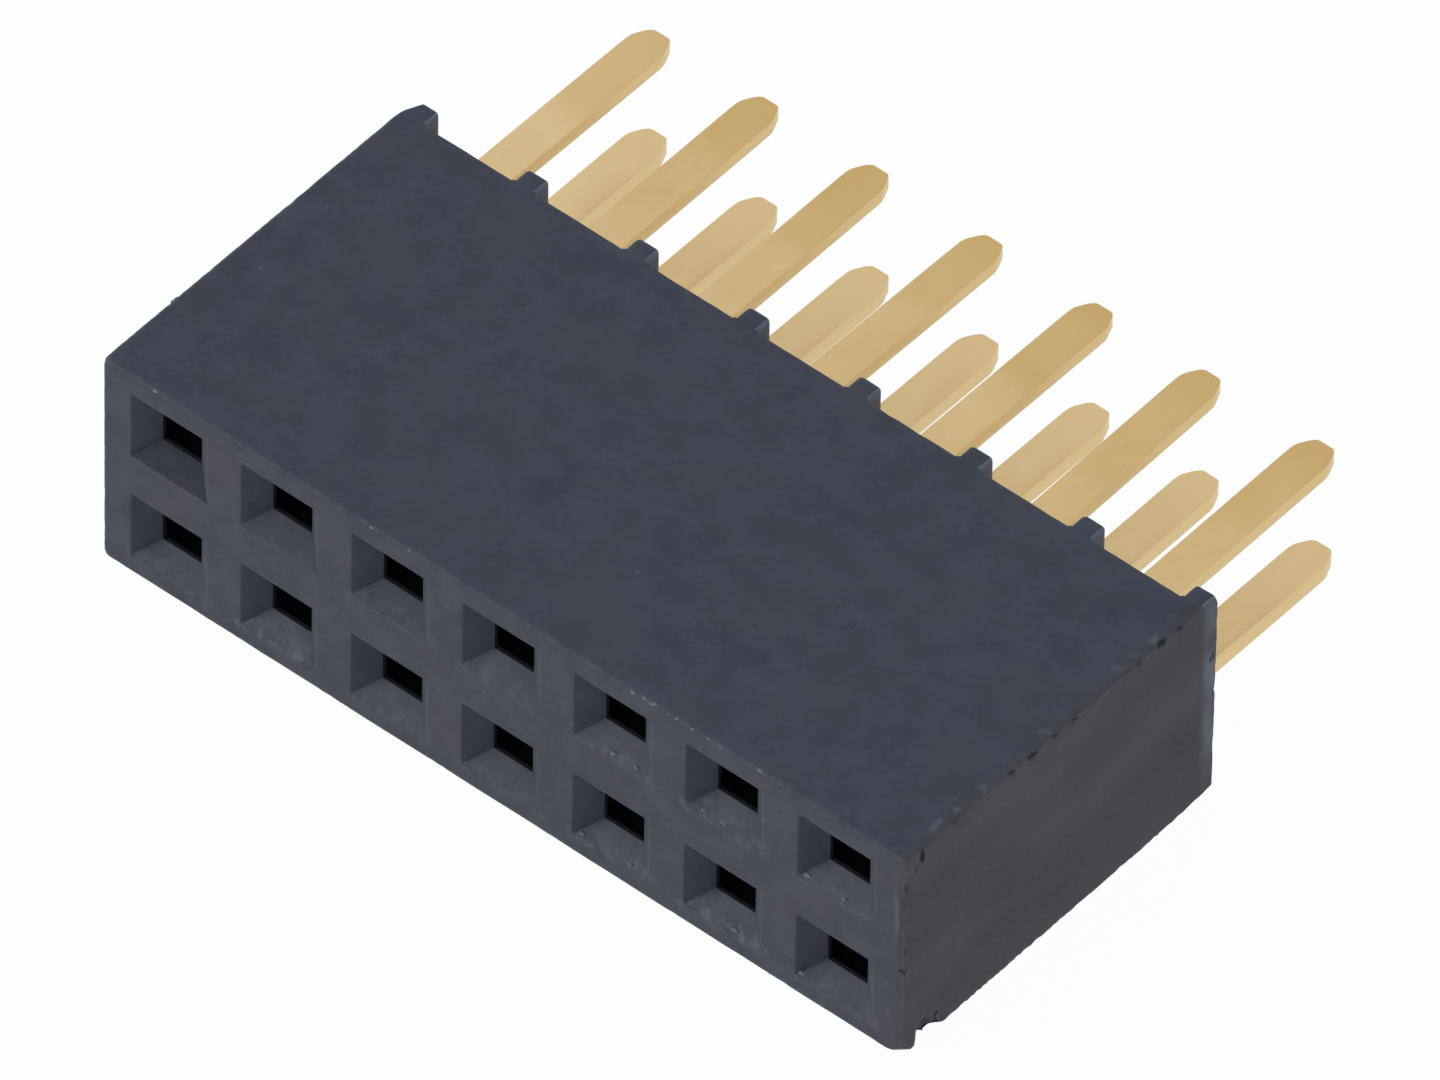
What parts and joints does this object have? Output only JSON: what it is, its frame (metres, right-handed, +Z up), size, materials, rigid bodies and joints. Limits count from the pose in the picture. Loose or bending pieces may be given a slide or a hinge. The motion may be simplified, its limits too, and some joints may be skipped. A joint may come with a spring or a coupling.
{
  "type": "socket header",
  "caption": "Straight board-mount socket header: black moulded housing with funnel sockets, rear standoff ribs and flat gold-plated solder tails.",
  "frame": {"origin": "centre of the part's box, on the long side that it lies on", "axes": "+X along the rows, +Y the way the tails point and pins are pushed in, +Z up from the long side that it lies on"},
  "size_m": [0.0144, 0.0104, 0.0039],
  "materials": {
    "housing": "matte",
    "contact": "satin gold plate"
  },
  "bodies": {
    "root": {"housing": "housing", "contact_a1": "contact", "contact_a2": "contact", "contact_a3": "contact", "contact_a4": "contact", "contact_a5": "contact", "contact_a6": "contact", "contact_a7": "contact", "contact_b1": "contact", "contact_b2": "contact", "contact_b3": "contact", "contact_b4": "contact", "contact_b5": "contact", "contact_b6": "contact", "contact_b7": "contact"}
  },
  "joints": []
}
